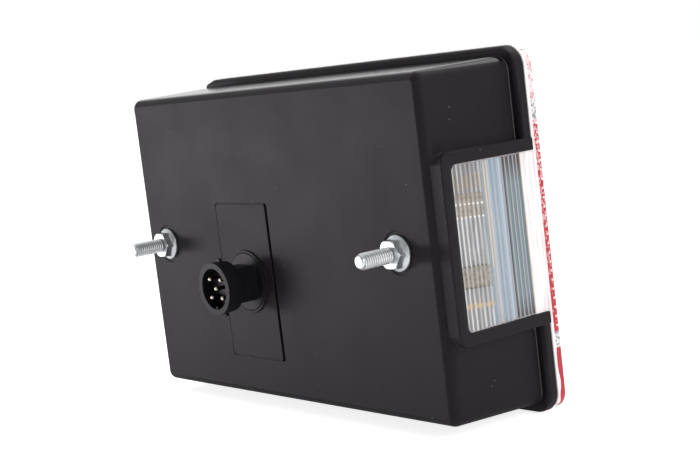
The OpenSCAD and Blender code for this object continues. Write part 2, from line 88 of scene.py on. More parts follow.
class Value:
    """A socket's value in a material, on which Python's operators add Math nodes."""

    def __init__(self, graph: "Graph", socket: bpy.types.NodeSocket) -> None:
        """Wraps a socket.

        Args:
            graph: The graph that the socket belongs to.
            socket: The output socket to wrap.
        """
        self.graph = graph
        self.socket = socket

    def _math(self, operation: str, *terms: "Value | float") -> "Value":
        """Adds one Math node on one or two terms and returns its value."""
        return self.graph.node("Math", {"operation": operation}, dict(enumerate(terms)))

    def __add__(self, other: "Value | float") -> "Value":
        """Sum of two values."""
        return self._math("ADD", self, other)

    def __radd__(self, other: float) -> "Value":
        """Sum with a plain number on the left."""
        return self._math("ADD", other, self)

    def __sub__(self, other: "Value | float") -> "Value":
        """Difference of two values."""
        return self._math("SUBTRACT", self, other)

    def __rsub__(self, other: float) -> "Value":
        """Difference from a plain number on the left."""
        return self._math("SUBTRACT", other, self)

    def __mul__(self, other: "Value | float") -> "Value":
        """Product of two values."""
        return self._math("MULTIPLY", self, other)

    def __rmul__(self, other: float) -> "Value":
        """Product with a plain number on the left."""
        return self._math("MULTIPLY", other, self)

    def __gt__(self, other: "Value | float") -> "Value":
        """One where this value is the greater, zero elsewhere."""
        return self._math("GREATER_THAN", self, other)

    def __lt__(self, other: "Value | float") -> "Value":
        """One where this value is the smaller, zero elsewhere."""
        return self._math("LESS_THAN", self, other)

    def between(self, low: float, high: float) -> "Value":
        """One where this value lies between two bounds, zero elsewhere."""
        return (self > low) * (self < high)

    def absolute(self) -> "Value":
        """The value without its sign."""
        return self._math("ABSOLUTE", self)

    def fraction(self) -> "Value":
        """The value's part after the point, which repeats from zero to one."""
        return self._math("FRACT", self)

    def root(self) -> "Value":
        """The value's square root."""
        return self._math("SQRT", self)

    def capped(self) -> "Value":
        """The value held between zero and one."""
        return self.graph.node("Clamp", {}, {0: self, 1: 0.0, 2: 1.0})


class Graph:
    """The nodes of one material or world."""

    def __init__(self, owner: bpy.types.Material | bpy.types.World) -> None:
        """Clears the owner's nodes.

        Args:
            owner: The material or world.
        """
        self.owner = owner
        owner.use_nodes = True
        self.tree = owner.node_tree
        self.tree.nodes.clear()

    @classmethod
    def of_material(cls, name: str) -> "Graph":
        """The graph of a new material."""
        return cls(bpy.data.materials.new(name))

    def node(self, kind: str, settings: dict[str, object] | None = None,
             inputs: dict[int | str, object] | None = None, output: int | str = 0) -> Value:
        """Adds a node of any type.

        Args:
            kind: The node's type, without its ShaderNode prefix.
            settings: Attributes to set first; "stops" holds a ramp's positions and colours.
            inputs: Values or links by socket name or number.
            output: Which output to return.

        Returns:
            The chosen output.
        """
        made = self.tree.nodes.new("ShaderNode" + kind)
        for key, value in (settings or {}).items():
            if key == "stops":
                self._set_stops(made.color_ramp, value)
            else:
                setattr(made, key, value)
        for key, value in (inputs or {}).items():
            if isinstance(value, Value):
                self.tree.links.new(value.socket, made.inputs[key])
            else:
                made.inputs[key].default_value = value
        return Value(self, made.outputs[output])

    @staticmethod
    def _set_stops(ramp: bpy.types.ColorRamp, stops: Stops) -> None:
        """Gives a colour ramp its stops.

        Args:
            ramp: The ramp.
            stops: Position and colour of each stop.
        """
        while len(ramp.elements) < len(stops):
            ramp.elements.new(1.0)
        for element, (position, colour) in zip(ramp.elements, stops):
            element.position = position
            element.color = (*colour, 1.0)

    def place(self) -> Value:
        """Coordinates in the lamp's frame."""
        return self.node("TexCoord", output="Object")

    def axis(self, name: str) -> Value:
        """One coordinate of the lamp's frame, X, Y or Z."""
        return self.node("SeparateXYZ", {}, {0: self.place()}, name)

    def ray(self, kind: str) -> Value:
        """One for rays of a kind, zero for the others."""
        return self.node("LightPath", output=f"Is {kind} Ray")

    def noise(self, size: float, detail: float = 2.0) -> Value:
        """Noise whose patches are about the given size in metres."""
        return self._noise_at(self.place(), size, detail)

    def stretched(self, scale: Point, size: float) -> Value:
        """Noise drawn out along an axis.

        Args:
            scale: Share of the fineness kept along each axis.
            size: Size of a patch in metres where the share is one.

        Returns:
            The noise.
        """
        drawn = self.node("VectorMath", {"operation": "MULTIPLY"}, {0: self.place(), 1: scale})
        return self._noise_at(drawn, size, 2.0)

    def _noise_at(self, place: Value, size: float, detail: float) -> Value:
        """Noise on given coordinates."""
        return self.node("TexNoise", {}, {"Vector": place, "Scale": 1.0 / size, "Detail": detail}, "Fac")

    def specks(self, size: float, spacing: float, share: float) -> Value:
        """Small spots scattered over a surface.

        Args:
            size: Radius of a spot in metres.
            spacing: Distance between spots.
            share: Threshold of the patches that hold spots; higher is fewer.

        Returns:
            One on a spot, zero elsewhere.
        """
        cells = self.node("TexVoronoi", {"feature": "F1"}, {"Vector": self.place(), "Scale": 1.0 / spacing},
                          "Distance")
        return (cells < size / spacing) * (self.noise(spacing * 3.0, 1.0) > share)

    def ramp(self, value: Value, stops: Stops) -> Value:
        """A value turned into a colour by a ramp."""
        return self.node("ValToRGB", {"stops": stops}, {0: value})

    def mix(self, factor: Value | float, first: Value | Colour, second: Value | Colour) -> Value:
        """Two colours mixed by a factor."""
        ends = [end if isinstance(end, Value) else (*end, 1.0) for end in (first, second)]
        return self.node("Mix", {"data_type": "RGBA"}, {0: factor, 6: ends[0], 7: ends[1]}, 2)

    def blend(self, factor: Value | float, first: Value, second: Value) -> Value:
        """Two shaders mixed by a factor."""
        return self.node("MixShader", {}, {0: factor, 1: first, 2: second})

    def bump(self, height: Value, depth: float) -> Value:
        """A normal bumped by a height between zero and one, which stands for a depth in metres."""
        return self.node("Bump", {}, {"Distance": depth, "Height": height})

    def surface(self, inputs: dict[str, object]) -> Value:
        """A Principled shader with the given sockets."""
        return self.node("BsdfPrincipled", {}, inputs)

    def finish(self, shader: Value) -> bpy.types.Material | bpy.types.World:
        """Ends the material or world in the given shader.

        Args:
            shader: The shader.

        Returns:
            The finished material or world.
        """
        kind = "World" if isinstance(self.owner, bpy.types.World) else "Material"
        output = self.tree.nodes.new("ShaderNodeOutput" + kind)
        self.tree.links.new(shader.socket, output.inputs["Surface"])
        return self.owner


class Finish(ABC):
    """What a material looks like; each kind of finish says it in its shader."""

    @abstractmethod
    def shader(self, graph: Graph) -> Value:
        """Adds the finish's shader to a graph."""

    def build(self, name: str) -> bpy.types.Material:
        """Builds the material."""
        graph = Graph.of_material(name)
        return graph.finish(self.shader(graph))


@dataclass(frozen=True)
class Moulded(Finish):
    """Moulded plastic or rubber with a fine grain, cloudy gloss and a few specks of dust.

    It may have a polished zone, one pale line of painted highlight and painted shade over a front part.
    """

    colour: Colour
    roughness: float
    cloud_size: float = 26 * MM
    grain_size: float = 0.7 * MM
    grain_depth: float = 0.02 * MM
    dark_part: float = 0.84
    light_part: float = 1.18
    glint_part: float = 1.7
    speck_size: float = 0.24 * MM
    speck_spacing: float = 4.5 * MM
    speck_share: float = 0.56
    # Colour of the dust specks, and of the painted highlight line
    speck_and_highlight_colour: Colour = (0.16, 0.155, 0.15)
    shine: float = 0.21
    shine_tint: Colour = (1.0, 0.9, 1.0)
    polish: float = 0.15
    gloss_above: float = NOWHERE
    gloss_behind: float = -42.4 * MM
    # Where one pale line of painted highlight runs, standing in for light caught by a small rounding
    highlight_line_at: float = -NOWHERE
    line_half: float = 0.2 * MM
    line_side: float = -90.0 * MM
    line_reach: float = 8.2 * MM
    # Where painted shade begins towards the front, and its colour
    shade_below: float = -NOWHERE
    shade: Colour = (0.045, 0.075, 0.085)

    def shader(self, graph: Graph) -> Value:
        """Adds the finish's shader to a graph.

        Args:
            graph: The material's graph.

        Returns:
            The shader.
        """
        x, y, z = graph.axis("X"), graph.axis("Y"), graph.axis("Z")
        cloud = graph.noise(self.cloud_size, 3.0)
        grain = graph.noise(self.grain_size, 2.0)
        dark = shaded(self.colour, self.dark_part)
        colour = graph.ramp(cloud, ((0.3, dark), (0.7, shaded(self.colour, self.light_part))))
        colour = graph.mix((grain < 0.42) * 0.5, colour, dark)
        colour = graph.mix((grain > 0.6) * 0.25, colour, shaded(self.colour, self.glint_part))
        specks = graph.specks(self.speck_size, self.speck_spacing, self.speck_share)
        colour = graph.mix(specks, colour, self.speck_and_highlight_colour)
        # Painted shade over the front part
        colour = graph.mix(y < self.shade_below, colour, self.shade)
        # Painted highlight: one thin pale line, standing in for light caught by a small rounding
        line = y.between(self.highlight_line_at - self.line_half, self.highlight_line_at + self.line_half)
        line = line * x.between(self.line_side - self.line_reach, self.line_side)
        colour = graph.mix(line * 0.6, colour, self.speck_and_highlight_colour)
        dull = 1.0 - (z > self.gloss_above) * (y > self.gloss_behind)
        rough = self.roughness - self.polish + (cloud - 0.5) * 0.14 + (grain - 0.5) * 0.12
        return graph.surface({
            "Base Color": colour,
            "Roughness": (self.polish + dull * rough).capped(),
            "Specular IOR Level": self.shine,
            "Specular Tint": (*self.shine_tint, 1.0),
            "Normal": graph.bump(grain * dull, self.grain_depth),
        })


@dataclass(frozen=True)
class Plated(Finish):
    """Metal with fine drawing marks and a clouded plating, with painted shade in a thread's groove and deep
    in a socket.
    """

    colour: Colour
    roughness: float
    cloud_size: float = 3.5 * MM
    marks: float = 0.25 * MM
    mark_depth: float = 0.004 * MM
    # Radius below which the thread's groove takes painted shade, how it fades and where it ends
    groove: float = 0.0
    groove_fade: float = 0.3 * MM
    groove_end: float = 17.3 * MM
    # Deeper than this, painted shade of the socket's depth, in the colour below
    socket_shade_below: float = -NOWHERE
    dark: Colour = (0.03, 0.025, 0.02)

    def shader(self, graph: Graph) -> Value:
        """Adds the finish's shader to a graph.

        Args:
            graph: The material's graph.

        Returns:
            The shader.
        """
        cloud = graph.noise(self.cloud_size, 3.0)
        colour = graph.ramp(cloud, ((0.25, shaded(self.colour, 0.78)), (0.6, self.colour)))
        # Painted shade on the contacts deep in the socket
        if self.socket_shade_below > -NOWHERE:
            colour = graph.mix((graph.axis("Y") < self.socket_shade_below) * 0.93, colour, self.dark)
        # Painted shade in the thread's groove
        if self.groove:
            colour = graph.mix(self._in_groove(graph), colour, shaded(self.colour, 0.3))
        return graph.surface({
            "Base Color": colour,
            "Metallic": 1.0,
            "Roughness": (self.roughness + (cloud - 0.5) * 0.2).capped(),
            "Normal": graph.bump(graph.noise(self.marks, 1.0), self.mark_depth),
        })

    def _in_groove(self, graph: Graph) -> Value:
        """How deep a point lies in the thread's groove, from one at its root to zero at its crest.

        Args:
            graph: The material's graph.

        Returns:
            The share.
        """
        across = graph.axis("X").absolute() - STUD_X * MM
        up = graph.axis("Z") - STUD_Z * MM
        reach = (across * across + up * up).root()
        depth = ((self.groove - reach) * (1.0 / self.groove_fade)).capped()
        return depth * (graph.axis("Y") < self.groove_end)


@dataclass(frozen=True)
class Clear(Finish):
    """Transparent plastic or glass: rays bend in it, and lamps shine through with its tint."""

    tint: Colour
    passed: Colour
    ior: float = 1.49
    roughness: float = 0.02
    smear_size: float = 9 * MM
    wave_size: float = 4 * MM
    wave_depth: float = 0.02 * MM
    milk: float = 0.0
    milk_colour: Colour = (0.8, 0.8, 0.8)
    milk_roughness: float = 0.12
    alpha: float = 1.0

    def shader(self, graph: Graph) -> Value:
        """Adds the finish's shader to a graph.

        Args:
            graph: The material's graph.

        Returns:
            The shader.
        """
        smear = graph.noise(self.smear_size, 2.0)
        clear = graph.surface({
            "Base Color": (*self.tint, 1.0),
            "Roughness": self.roughness + smear * 0.03,
            "IOR": self.ior,
            "Transmission Weight": 1.0,
            "Alpha": self.alpha,
            "Normal": graph.bump(graph.noise(self.wave_size, 1.0), self.wave_depth),
        })
        if self.milk:
            body = graph.surface({
                "Base Color": graph.mix(smear, self.milk_colour, shaded(self.milk_colour, 0.9)),
                "Roughness": self.milk_roughness,
                "IOR": self.ior,
            })
            clear = graph.blend(self.milk, clear, body)
        through = graph.node("BsdfTransparent", {}, {"Color": (*self.passed, 1.0)})
        return graph.blend(graph.ray("Shadow"), clear, through)


@dataclass(frozen=True)
class Line:
    """An upright line on the window, between two depths in millimetres."""

    front: float
    rear: float
    colour: Colour


@dataclass(frozen=True)
class Rim(Finish):
    """The clear lens rim: ribbed window, frosted lip, and the red edge with its painted glints and its
    breaks; the window's colours are a painted view through the ribs, with painted highlights, painted shade
    and a painted glow.
    """

    # Where its zones begin and how much each shows
    frost_from: float = -40.8 * MM
    ribs_from: float = -6.9 * MM
    panel_from: float = -21.2 * MM
    dark_from: float = -32.4 * MM
    red_from: float = -48.6 * MM
    edge_x: float = -98.6 * MM
    top_from: float = 65.3 * MM
    outline_z: float = 28.85 * MM
    ribs_share: float = 0.62
    dark_share: float = 0.92
    outline_share: float = 0.3
    # Strength of the painted glow, which the ribs, frost and red edge emit in their own colour
    glow: float = 0.28

    # The ribbed window
    rib_pitch: float = 2.08 * MM
    rib_start: float = -6.4 * MM
    # Tones across one rib, with a painted highlight on its crest
    rib_stops: Stops = (
        (0.0, (0.26, 0.25, 0.25)), (0.28, (0.40, 0.38, 0.38)), (0.45, (0.90, 0.89, 0.91)),
        (0.62, (0.66, 0.69, 0.73)), (0.85, (0.27, 0.265, 0.27)))
    slant: float = 0.074
    slant_from: float = -14.0 * MM
    streak: Colour = (0.17, 0.165, 0.165)
    top_band_from: float = 16.5 * MM
    top_band: Colour = (0.11, 0.105, 0.105)
    strips: tuple[tuple[float, float], ...] = ((10.4, 18.8), (-14.4, -6.8))
    strip_pale: Colour = (0.40, 0.34, 0.26)
    strip_deep: Colour = (0.27, 0.20, 0.11)
    # Colour of the painted glints on the crests along the strips' borders
    crest_glint: Colour = (1.0, 0.98, 0.95)
    dot_dark: Colour = (0.10, 0.08, 0.06)
    gilt_low: Colour = (0.78, 0.54, 0.25)
    gilt_high: Colour = (0.62, 0.42, 0.2)
    panel_blue: Colour = (0.25, 0.37, 0.45)
    panel_grey: Colour = (0.40, 0.47, 0.53)
    # The panel_line and dark_line colours are a painted highlight along each rib
    panel_line: Colour = (0.60, 0.54, 0.56)
    # Painted shade of the chamber seen through the front ribs, darker towards its top and bottom ends
    dark_middle: Colour = (0.17, 0.235, 0.265)
    dark_end: Colour = (0.085, 0.09, 0.10)
    dark_line: Colour = (0.46, 0.41, 0.42)
    gilt_line: Line = Line(-22.6, -22.1, (0.85, 0.58, 0.28))
    gilt_line_foot: Colour = (0.50, 0.46, 0.44)
    lines: tuple[Line, ...] = (
        Line(-24.3, -23.7, (0.72, 0.64, 0.63)), Line(-30.5, -29.3, (0.66, 0.76, 0.86)),
        Line(-31.4, -30.9, (0.50, 0.46, 0.47)), Line(-32.4, -31.6, (0.06, 0.055, 0.06)),
        Line(-40.8, -40.4, (0.60, 0.47, 0.33)))

    # The red edge, from its top down
    pink_above: float = 47.0 * MM
    spots_above: float = 40.0 * MM
    break_top: float = -37.5 * MM
    break_bottom: float = -43.4 * MM
    # A row of dots of painted glint on the flutes
    dot_pitch: float = 3.36 * MM
    dot_y: float = -50.3 * MM
    glint_dot_colour: Colour = (1.0, 0.88, 0.78)
    red_deep: Colour = (0.40, 0.007, 0.022)
    red_bright: Colour = (0.52, 0.02, 0.04)
    # Colour of the painted glints on the flutes
    sparkle: Colour = (0.90, 0.70, 0.72)
    pink_pale: Colour = (0.84, 0.70, 0.71)
    pink_deep: Colour = (0.66, 0.30, 0.33)
    break_pale: Colour = (0.72, 0.71, 0.72)
    break_dark: Colour = (0.26, 0.25, 0.26)

    def shader(self, graph: Graph) -> Value:
        """Adds the finish's shader to a graph.

        Args:
            graph: The material's graph.

        Returns:
            The shader.
        """
        x, y, z = graph.axis("X"), graph.axis("Y"), graph.axis("Z")
        shader = Clear((0.97, 0.985, 0.99), (0.9, 0.92, 0.93), roughness=0.01, alpha=0.4).shader(graph)
        ribs = self._lit(graph, self._ribs(graph, y, z), 0.14)
        frost = self._lit(graph, self._frost(graph), 0.3)
        red = self._lit(graph, self._red(graph, z, y), 0.1 + graph.noise(1.2 * MM) * 0.1)
        side = x < self.edge_x
        outside = (side + (z > self.top_from)).capped()
        inner = z.between(-self.outline_z, self.outline_z) * (y < self.ribs_from)
        share = inner * (self.ribs_share + (y < self.dark_from) * (self.dark_share - self.ribs_share))
        shader = graph.blend(share, shader, ribs)
        shader = graph.blend((1.0 - inner) * (y > self.frost_from) * self.outline_share, shader, frost)
        shader = graph.blend((y < self.frost_from) * outside, shader, frost)
        lower = z < self.break_bottom
        wave = (graph.stretched((1.0, 0.3, 0.35), 2.6 * MM) - 0.5) * (0.6 * MM + lower * (3.4 * MM))
        return graph.blend(((y + wave) < self.red_from) * side, shader, red)

    def _lit(self, graph: Graph, colour: Value, roughness: Value | float) -> Value:
        """A clear moulding's surface with a painted glow: its colour is also emitted, for the light gathered
        inside it.

        Args:
            graph: The material's graph.
            colour: Its colour.
            roughness: Its roughness.

        Returns:
            The shader.
        """
        # Painted glow: the colour also shines as emission, though the rim is no lamp
        return graph.surface({
            "Base Color": colour, "Roughness": roughness, "IOR": 1.49,
            "Emission Color": colour, "Emission Strength": self.glow,
        })

    def _ribs(self, graph: Graph, y: Value, z: Value) -> Value:
        """Colours painted on the ribs for what shows through them: streaked rear part, pale panel, dark front
        part of painted shade, upright lines, and a painted highlight along each rib.

        Args:
            graph: The material's graph.
            y: Depth.
            z: Height.

        Returns:
            The colour.
        """
        turn = ((self.rib_start - y) * (1.0 / self.rib_pitch)).fraction()
        high = z - (y - self.slant_from) * self.slant
        streaky = graph.stretched((0.0, 1.0, 0.06), 1.3 * MM)
        # Painted highlight along each rib
        line = turn.between(0.66, 0.86)
        panel = graph.mix(line * 0.8, graph.mix(streaky, self.panel_blue, self.panel_grey), self.panel_line)
        # Painted shade, darker towards the top and bottom ends
        ends = (((z + 1.0 * MM).absolute() - 20.0 * MM) * (1.0 / (8.0 * MM))).capped()
        dark = graph.mix(line * 0.85, graph.mix(ends, self.dark_middle, self.dark_end), self.dark_line)
        colour = graph.mix(y < self.panel_from, self._rear(graph, turn, high, streaky), panel)
        colour = graph.mix(y < self.dark_from, colour, dark)
        gilt = graph.mix(high > -8.0 * MM, self.gilt_line_foot, self.gilt_line.colour)
        for mark, tone in ((self.gilt_line, gilt), *((mark, mark.colour) for mark in self.lines)):
            colour = graph.mix(y.between(mark.front * MM, mark.rear * MM), colour, tone)
        return colour

    def _rear(self, graph: Graph, turn: Value, high: Value, streaky: Value) -> Value:
        """Colours of the rear ribs: pale streaks of painted highlight with the brass strips, their dotted
        borders with painted glints on the crests, and gilt ends.

        Args:
            graph: The material's graph.
            turn: Place across a rib, from zero to one.
            high: Height along the slanting window.
            streaky: Noise drawn out along the ribs.

        Returns:
            The colour.
        """
        crest = turn.between(0.35, 0.72)
        blotch = graph.noise(1.7 * MM, 2.0)
        # Painted highlight on each rib's crest
        colour = graph.ramp(turn, self.rib_stops)
        colour = graph.mix((streaky > 0.54) * 0.45, colour, self.streak)
        colour = graph.mix((high > self.top_band_from) * 0.3, colour, self.top_band)
        brass = graph.mix(blotch > 0.5, self.strip_pale, self.strip_deep)
        for low, top in self.strips:
            colour = graph.mix(high.between(low * MM, top * MM) * 0.6 * (0.6 + streaky * 0.5), colour, brass)
        # Dots along the strips' borders, the pale ones painted glints on the crests, and gilt marks
        for height, half, where, tone in (
                (15.0, 0.35, crest, self.crest_glint), (10.4, 0.35, crest, self.crest_glint),
                (-6.8, 0.3, 1.0 - crest, self.dot_dark), (-14.4, 0.3, 1.0 - crest, self.dot_dark),
                (-20.8, 0.9, (blotch > 0.45) * 0.65, self.gilt_low),
                (22.8, 2.3, (streaky > 0.45) * crest * 0.6, self.gilt_high)):
            colour = graph.mix(high.between((height - half) * MM, (height + half) * MM) * where, colour, tone)
        return colour

    def _frost(self, graph: Graph) -> Value:
        """Colours of the frosted lip: pinkish white with fine upright streaks.

        Args:
            graph: The material's graph.

        Returns:
            The colour.
        """
        fine = graph.stretched((1.0, 1.0, 0.04), 0.5 * MM)
        broad = graph.stretched((1.0, 1.0, 0.08), 1.6 * MM)
        tone = graph.ramp(broad, ((0.35, (0.74, 0.66, 0.67)), (0.55, (0.90, 0.84, 0.85))))
        return graph.mix((fine > 0.6) * 0.5, tone, (0.97, 0.96, 0.97))

    def _red(self, graph: Graph, z: Value, y: Value) -> Value:
        """Colours of the red edge along its height: plain, a break, flutes with painted glints and a row of
        painted glint dots, spots and pink.

        Args:
            graph: The material's graph.
            z: Height.
            y: Depth.

        Returns:
            The colour.
        """
        red = graph.mix(graph.noise(2.0 * MM, 3.0), self.red_deep, self.red_bright)
        pink = graph.mix(graph.noise(1.1 * MM, 2.0) > 0.58, self.pink_pale, self.pink_deep)
        grey = graph.mix(graph.noise(1.2 * MM, 2.0) > 0.52, self.break_pale, self.break_dark)
        climb = ((z - self.break_top) * (0.7 / (self.spots_above - self.break_top))).capped()
        # Painted glints on the flutes, more of them higher up
        glints = graph.stretched((1.0, 1.0, 0.8), 0.75 * MM) < (climb * 0.26 + 0.36)
        fluted = z.between(self.break_top, self.spots_above)
        colour = graph.mix(fluted, red, graph.mix(glints * (climb * 0.5 + 0.3), red, self.sparkle))
        colour = graph.mix(z > self.pink_above, colour, pink)
        # A row of dots of painted glint, one at each flute
        near_z = ((z * (1.0 / self.dot_pitch)).fraction() - 0.5).absolute() < 0.12
        near_y = (y - self.dot_y).absolute() < 0.4 * MM
        colour = graph.mix(near_z * near_y * fluted * 0.85, colour, self.glint_dot_colour)
        breaks = z.between(self.break_bottom, self.break_top) + z.between(self.spots_above, self.pink_above)
        return graph.mix(breaks, colour, grey)


class Slot(Enum):
    """The record's material slots."""

    HOUSING = "housing_black"
    INSERT = "insert_black"
    CONNECTOR = "connector_black"
    CONTACT = "contact_brass"
    ZINC = "zinc_steel"
    CLEAR = "lens_clear"
    RED = "lens_red"
    AMBER = "lens_amber"
    REFLECTOR = "reflector_red"
    SEAL = "seal_rubber"
    CARRIER = "carrier_pale"
    STRIP = "strip_brass"
    CAP = "cap_nickel"
    BULB = "bulb_glass"


FINISHES: dict[Slot, Finish] = {
    # The housing's painted highlight line runs where the side wall meets the flange
    Slot.HOUSING: Moulded((0.0115, 0.0099, 0.0117), 0.54, gloss_above=61.9 * MM, highlight_line_at=-42.35 * MM),
    Slot.INSERT: Moulded((0.0122, 0.0104, 0.0122), 0.54, grain_size=0.5 * MM, grain_depth=0.012 * MM),
    Slot.CONNECTOR: Moulded((0.010, 0.0092, 0.011), 0.46, grain_size=0.4 * MM, grain_depth=0.008 * MM),
    # The contacts take painted shade deep in the socket
    Slot.CONTACT: Plated((1.0, 0.93, 0.80), 0.42, socket_shade_below=15.9 * MM),
    Slot.ZINC: Plated((0.78, 0.81, 0.84), 0.42),
    Slot.CLEAR: Clear((0.97, 0.985, 0.99), (0.9, 0.92, 0.93)),
    Slot.RED: Clear((0.75, 0.02, 0.035), (0.6, 0.02, 0.03), milk=0.45, milk_colour=(0.5, 0.012, 0.025)),
    Slot.AMBER: Clear((0.95, 0.32, 0.02), (0.85, 0.3, 0.03), milk=0.45, milk_colour=(0.75, 0.2, 0.01)),
    Slot.REFLECTOR: Moulded((0.48, 0.01, 0.02), 0.1, grain_size=1.5 * MM, grain_depth=0.004 * MM,
                            speck_share=2.0),
    Slot.SEAL: Moulded((0.02, 0.02, 0.02), 0.7),
    # The carrier's front part takes painted shade, for the shade in its recess behind the window
    Slot.CARRIER: Moulded((0.42, 0.56, 0.62), 0.22, grain_depth=0.003 * MM, speck_share=0.62,
                          speck_and_highlight_colour=(0.02, 0.02, 0.02), shade_below=-36.0 * MM),
    Slot.STRIP: Plated((0.85, 0.60, 0.26), 0.28),
    Slot.CAP: Plated((0.66, 0.63, 0.56), 0.25),
    Slot.BULB: Clear((0.98, 0.99, 1.0), (0.95, 0.96, 0.97), ior=1.45, roughness=0.0),
}

# The studs' thread, with painted shade in its groove
THREAD = Plated((0.92, 0.94, 0.97), 0.36, groove=2.75 * MM)


class Palette:
    """Builds each slot's material once."""

    def __init__(self) -> None:
        """Starts with no material built."""
        self._built: dict[str, bpy.types.Material] = {}

    def of(self, slot: Slot) -> bpy.types.Material:
        """The material of a slot."""
        return self.named(slot.value, FINISHES[slot])

    def named(self, name: str, finish: Finish) -> bpy.types.Material:
        """A finish built once under a name.

        Args:
            name: The material's name.
            finish: The finish to build.

        Returns:
            The material.
        """
        if name not in self._built:
            self._built[name] = finish.build(name)
        return self._built[name]


PALETTE = Palette()


def in_scene(name: str, data: bpy.types.ID) -> bpy.types.Object:
    """Makes an object and puts it in the scene.

    Args:
        name: The object's name.
        data: Its mesh, camera or lamp.

    Returns:
        The object.
    """
    made = bpy.data.objects.new(name, data)
    bpy.context.scene.collection.objects.link(made)
    return made


class Form:
    """A mesh that bmesh operators shape, and that ends as one piece."""

    def __init__(self) -> None:
        """Starts empty."""
        self.mesh = bmesh.new()

    @classmethod
    def of_node(cls, node: str) -> "Form":
        """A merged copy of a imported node's mesh, its flat faces joined.

        Args:
            node: The node's name.

        Returns:
            The form.
        """
        form = cls()
        form.mesh.from_mesh(frame["nodes"][node].data)
        form.merge()
        bmesh.ops.dissolve_limit(form.mesh, angle_limit=math.radians(0.3), use_dissolve_boundaries=False,
                                 verts=form.mesh.verts[:], edges=form.mesh.edges[:])
        return form

    def sharp_edges(self, test: PointTest, least: float) -> list[bmesh.types.BMEdge]:
        """Edges sharper than an angle whose both ends pass a test.

        Args:
            test: Takes a point in millimetres and says whether it counts.
            least: Angle between the faces in degrees.

        Returns:
            The edges.
        """
        limit = math.radians(least)
        return [edge for edge in self.mesh.edges
                if len(edge.link_faces) == 2 and edge.calc_face_angle(0.0) > limit
                and all(test(vert.co / MM) for vert in edge.verts)]

    def soften(self, edges: list[bmesh.types.BMEdge], width: float, segments: int = 2) -> None:
        """Rounds edges.

        Args:
            edges: The edges.
            width: How far the rounding reaches, in metres.
            segments: Steps of the rounding.
        """
        if edges:
            bmesh.ops.bevel(self.mesh, geom=edges, offset=width, offset_type="OFFSET", affect="EDGES",
                            segments=segments, profile=0.5, material=-1, clamp_overlap=False)

    def block(self, low: Point, high: Point) -> None:
        """Adds a block between two corners in millimetres.

        Args:
            low: Its lowest corner.
            high: Its highest corner.
        """
        corners = bmesh.ops.create_cube(self.mesh, size=1.0)["verts"]
        bmesh.ops.scale(self.mesh, vec=(Vector(high) - Vector(low)) * MM, verts=corners)
        self.move((Vector(low) + Vector(high)) / 2, corners)

    def move(self, by: Vector, verts: list[bmesh.types.BMVert]) -> None:
        """Moves points by a step in millimetres."""
        bmesh.ops.translate(self.mesh, vec=by * MM, verts=verts)

    def cut(self, y: float, towards: float) -> None:
        """Cuts away what lies past a plane across Y.

        Args:
            y: The plane's place in millimetres.
            towards: One where the far side goes, minus one where the near side goes.
        """
        bmesh.ops.bisect_plane(self.mesh, geom=self.mesh.verts[:] + self.mesh.edges[:] + self.mesh.faces[:],
                               plane_co=(0.0, y * MM, 0.0), plane_no=(0.0, towards, 0.0), clear_outer=True)

    def fill(self) -> None:
        """Closes open ends with flat faces."""
        rims = [edge for edge in self.mesh.edges if edge.is_boundary]
        bmesh.ops.holes_fill(self.mesh, edges=rims, sides=0)

    def merge(self, reach: float = 1e-6) -> None:
        """Merges points nearer than a reach in metres."""
        bmesh.ops.remove_doubles(self.mesh, verts=self.mesh.verts[:], dist=reach)

    def face_out(self) -> None:
        """Turns the faces outwards."""
        bmesh.ops.recalc_face_normals(self.mesh, faces=self.mesh.faces[:])

    def data(self, name: str) -> bpy.types.Mesh:
        """Ends the form as mesh data.

        Args:
            name: The data's name.

        Returns:
            The data.
        """
        data = bpy.data.meshes.new(name)
        self.mesh.to_mesh(data)
        self.mesh.free()
        return data

    def join(self, other: "Form") -> None:
        """Adds another form's mesh to this one.

        Args:
            other: The other form, which ends here.
        """
        data = other.data("joined")
        self.mesh.from_mesh(data)
        bpy.data.meshes.remove(data)

    def piece(self, name: str, material: bpy.types.Material, slot: Slot, *nodes: str,
              sharp: float = 38.0) -> bpy.types.Object:
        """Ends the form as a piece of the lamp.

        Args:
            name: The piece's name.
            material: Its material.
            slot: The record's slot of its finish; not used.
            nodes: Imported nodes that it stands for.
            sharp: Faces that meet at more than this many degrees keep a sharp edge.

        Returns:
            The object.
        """
        data = self.data(name)
        data.polygons.foreach_set("use_smooth", [True] * len(data.polygons))
        data.set_sharp_from_angle(angle=math.radians(sharp))
        data.materials.append(material)
        made = in_scene(name, data)
        made.modifiers.new("even_shading", "WEIGHTED_NORMAL").keep_sharp = True
        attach(made, BODY)
        if nodes:
            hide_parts(*nodes)
        return made


def anywhere(point: Vector) -> bool:
    """Passes every point."""
    return True


def on_back(point: Vector) -> bool:
    """Whether a point in millimetres lies on the back face."""
    return abs(point.y) < TOUCH


def finished(node: str, slot: Slot, width: float = 0.0, least: float = 50.0,
             test: PointTest = anywhere) -> bpy.types.Object:
    """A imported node's copy with smooth curves and, where asked, rounded edges.

    Args:
        node: The node.
        slot: Its slot.
        width: How far the rounding reaches in metres; none at zero.
        least: Angle from which an edge is rounded, in degrees.
        test: Limits the rounding to edges whose ends, in millimetres, pass it.

    Returns:
        The piece.
    """
    form = Form.of_node(node)
    if width:
        form.soften(form.sharp_edges(test, least), width)
    return form.piece(node + "_finish", PALETTE.of(slot), slot, node)


